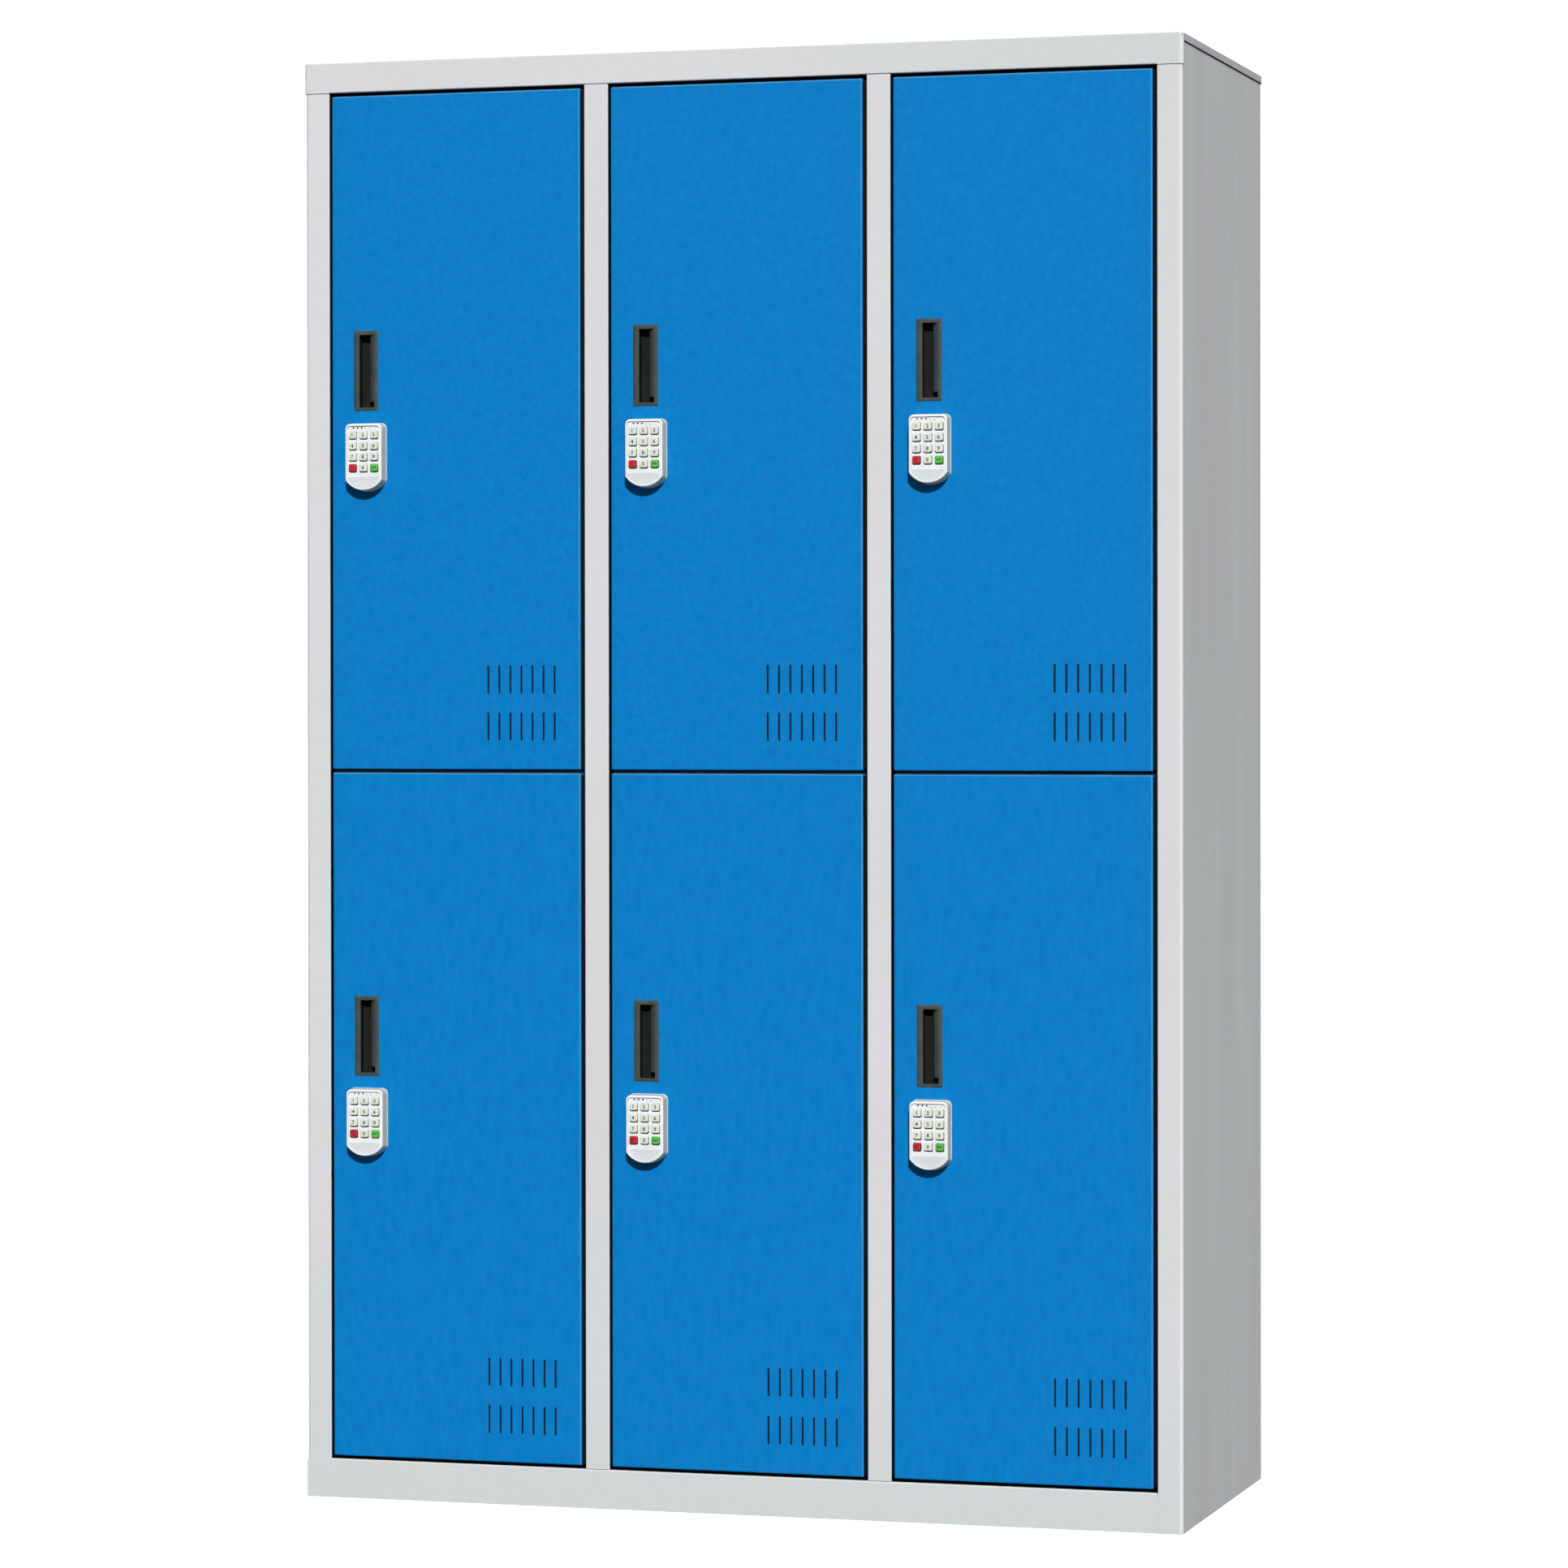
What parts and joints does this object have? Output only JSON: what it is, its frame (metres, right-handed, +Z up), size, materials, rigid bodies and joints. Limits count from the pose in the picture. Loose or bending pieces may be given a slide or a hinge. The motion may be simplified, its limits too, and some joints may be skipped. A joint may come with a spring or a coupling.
{
  "type": "keypad locker",
  "caption": "Steel locker bank with blue hinged doors in two tiers, each with a recessed pull, an electronic keypad lock and ventilation slots.",
  "frame": {"origin": "middle of the whole object's box, on the floor", "axes": "+Z up, the doors face -Y, +X to the right when looking at the doors"},
  "size_m": [1.1258, 0.4966, 1.8],
  "materials": {
    "carcass_paint": "light grey textured powder coat, satin",
    "door_paint": "blue textured powder coat, satin",
    "black_plastic": "moulded black plastic, fine grain",
    "white_plastic": "white moulded plastic, satin",
    "key_mat": "cream silicone with printed figures",
    "grey_plastic": "dark grey moulded plastic",
    "bolt_steel": "zinc plated",
    "hinge_steel": "black oxide steel, satin"
  },
  "bodies": {
    "cabinet": {"side_panel_left": "carcass_paint", "side_panel_right": "carcass_paint", "top_cover": "carcass_paint", "floor_panel": "carcass_paint", "plinth_front": "carcass_paint", "back_panel": "carcass_paint", "partition_left": "carcass_paint", "partition_right": "carcass_paint", "shelf_left": "carcass_paint", "shelf_middle": "carcass_paint", "shelf_right": "carcass_paint", "hinge_frame_leaf_upper_left": "hinge_steel", "hinge_frame_leaf_upper_middle": "hinge_steel", "hinge_frame_leaf_upper_right": "hinge_steel", "hinge_frame_leaf_lower_left": "hinge_steel", "hinge_frame_leaf_lower_middle": "hinge_steel", "hinge_frame_leaf_lower_right": "hinge_steel"},
    "door_upper_left": {"door_panel_upper_left": "door_paint", "door_pull_upper_left": "black_plastic", "lock_housing_upper_left": "white_plastic", "lock_rear_case_upper_left": "grey_plastic", "hinge_door_leaf_upper_left": "hinge_steel"},
    "keys_upper_left": {"lock_keys_upper_left": "key_mat"},
    "bolt_upper_left": {"lock_bolt_upper_left": "bolt_steel"},
    "door_upper_middle": {"door_panel_upper_middle": "door_paint", "door_pull_upper_middle": "black_plastic", "lock_housing_upper_middle": "white_plastic", "lock_rear_case_upper_middle": "grey_plastic", "hinge_door_leaf_upper_middle": "hinge_steel"},
    "keys_upper_middle": {"lock_keys_upper_middle": "key_mat"},
    "bolt_upper_middle": {"lock_bolt_upper_middle": "bolt_steel"},
    "door_upper_right": {"door_panel_upper_right": "door_paint", "door_pull_upper_right": "black_plastic", "lock_housing_upper_right": "white_plastic", "lock_rear_case_upper_right": "grey_plastic", "hinge_door_leaf_upper_right": "hinge_steel"},
    "keys_upper_right": {"lock_keys_upper_right": "key_mat"},
    "bolt_upper_right": {"lock_bolt_upper_right": "bolt_steel"},
    "door_lower_left": {"door_panel_lower_left": "door_paint", "door_pull_lower_left": "black_plastic", "lock_housing_lower_left": "white_plastic", "lock_rear_case_lower_left": "grey_plastic", "hinge_door_leaf_lower_left": "hinge_steel"},
    "keys_lower_left": {"lock_keys_lower_left": "key_mat"},
    "bolt_lower_left": {"lock_bolt_lower_left": "bolt_steel"},
    "door_lower_middle": {"door_panel_lower_middle": "door_paint", "door_pull_lower_middle": "black_plastic", "lock_housing_lower_middle": "white_plastic", "lock_rear_case_lower_middle": "grey_plastic", "hinge_door_leaf_lower_middle": "hinge_steel"},
    "keys_lower_middle": {"lock_keys_lower_middle": "key_mat"},
    "bolt_lower_middle": {"lock_bolt_lower_middle": "bolt_steel"},
    "door_lower_right": {"door_panel_lower_right": "door_paint", "door_pull_lower_right": "black_plastic", "lock_housing_lower_right": "white_plastic", "lock_rear_case_lower_right": "grey_plastic", "hinge_door_leaf_lower_right": "hinge_steel"},
    "keys_lower_right": {"lock_keys_lower_right": "key_mat"},
    "bolt_lower_right": {"lock_bolt_lower_right": "bolt_steel"}
  },
  "joints": [
    {"name": "door_upper_left_hinge", "type": "hinge", "parent": "cabinet", "child": "door_upper_left", "pos_m": [-0.1956, -0.22815, 0.9143], "axis": [0, 0, 1], "range_deg": [0, 110]},
    {"name": "bolt_upper_left_slide", "type": "slide", "parent": "door_upper_left", "child": "bolt_upper_left", "axis": [-1, 0, 0], "range_m": [0, 0.011]},
    {"name": "keys_upper_left_press", "type": "slide", "parent": "door_upper_left", "child": "keys_upper_left", "axis": [0, 1, 0], "range_m": [0, 0.001], "stiffness_N_per_m": 500},
    {"name": "door_upper_middle_hinge", "type": "hinge", "parent": "cabinet", "child": "door_upper_middle", "pos_m": [0.1669, -0.22815, 0.9143], "axis": [0, 0, 1], "range_deg": [0, 110]},
    {"name": "bolt_upper_middle_slide", "type": "slide", "parent": "door_upper_middle", "child": "bolt_upper_middle", "axis": [-1, 0, 0], "range_m": [0, 0.011]},
    {"name": "keys_upper_middle_press", "type": "slide", "parent": "door_upper_middle", "child": "keys_upper_middle", "axis": [0, 1, 0], "range_m": [0, 0.001], "stiffness_N_per_m": 500},
    {"name": "door_upper_right_hinge", "type": "hinge", "parent": "cabinet", "child": "door_upper_right", "pos_m": [0.5278, -0.22815, 0.9143], "axis": [0, 0, 1], "range_deg": [0, 110]},
    {"name": "bolt_upper_right_slide", "type": "slide", "parent": "door_upper_right", "child": "bolt_upper_right", "axis": [-1, 0, 0], "range_m": [0, 0.011]},
    {"name": "keys_upper_right_press", "type": "slide", "parent": "door_upper_right", "child": "keys_upper_right", "axis": [0, 1, 0], "range_m": [0, 0.001], "stiffness_N_per_m": 500},
    {"name": "door_lower_left_hinge", "type": "hinge", "parent": "cabinet", "child": "door_lower_left", "pos_m": [-0.1956, -0.22815, 0.0526], "axis": [0, 0, 1], "range_deg": [0, 110]},
    {"name": "bolt_lower_left_slide", "type": "slide", "parent": "door_lower_left", "child": "bolt_lower_left", "axis": [-1, 0, 0], "range_m": [0, 0.011]},
    {"name": "keys_lower_left_press", "type": "slide", "parent": "door_lower_left", "child": "keys_lower_left", "axis": [0, 1, 0], "range_m": [0, 0.001], "stiffness_N_per_m": 500},
    {"name": "door_lower_middle_hinge", "type": "hinge", "parent": "cabinet", "child": "door_lower_middle", "pos_m": [0.1669, -0.22815, 0.0526], "axis": [0, 0, 1], "range_deg": [0, 110]},
    {"name": "bolt_lower_middle_slide", "type": "slide", "parent": "door_lower_middle", "child": "bolt_lower_middle", "axis": [-1, 0, 0], "range_m": [0, 0.011]},
    {"name": "keys_lower_middle_press", "type": "slide", "parent": "door_lower_middle", "child": "keys_lower_middle", "axis": [0, 1, 0], "range_m": [0, 0.001], "stiffness_N_per_m": 500},
    {"name": "door_lower_right_hinge", "type": "hinge", "parent": "cabinet", "child": "door_lower_right", "pos_m": [0.5278, -0.22815, 0.0526], "axis": [0, 0, 1], "range_deg": [0, 110]},
    {"name": "bolt_lower_right_slide", "type": "slide", "parent": "door_lower_right", "child": "bolt_lower_right", "axis": [-1, 0, 0], "range_m": [0, 0.011]},
    {"name": "keys_lower_right_press", "type": "slide", "parent": "door_lower_right", "child": "keys_lower_right", "axis": [0, 1, 0], "range_m": [0, 0.001], "stiffness_N_per_m": 500}
  ]
}
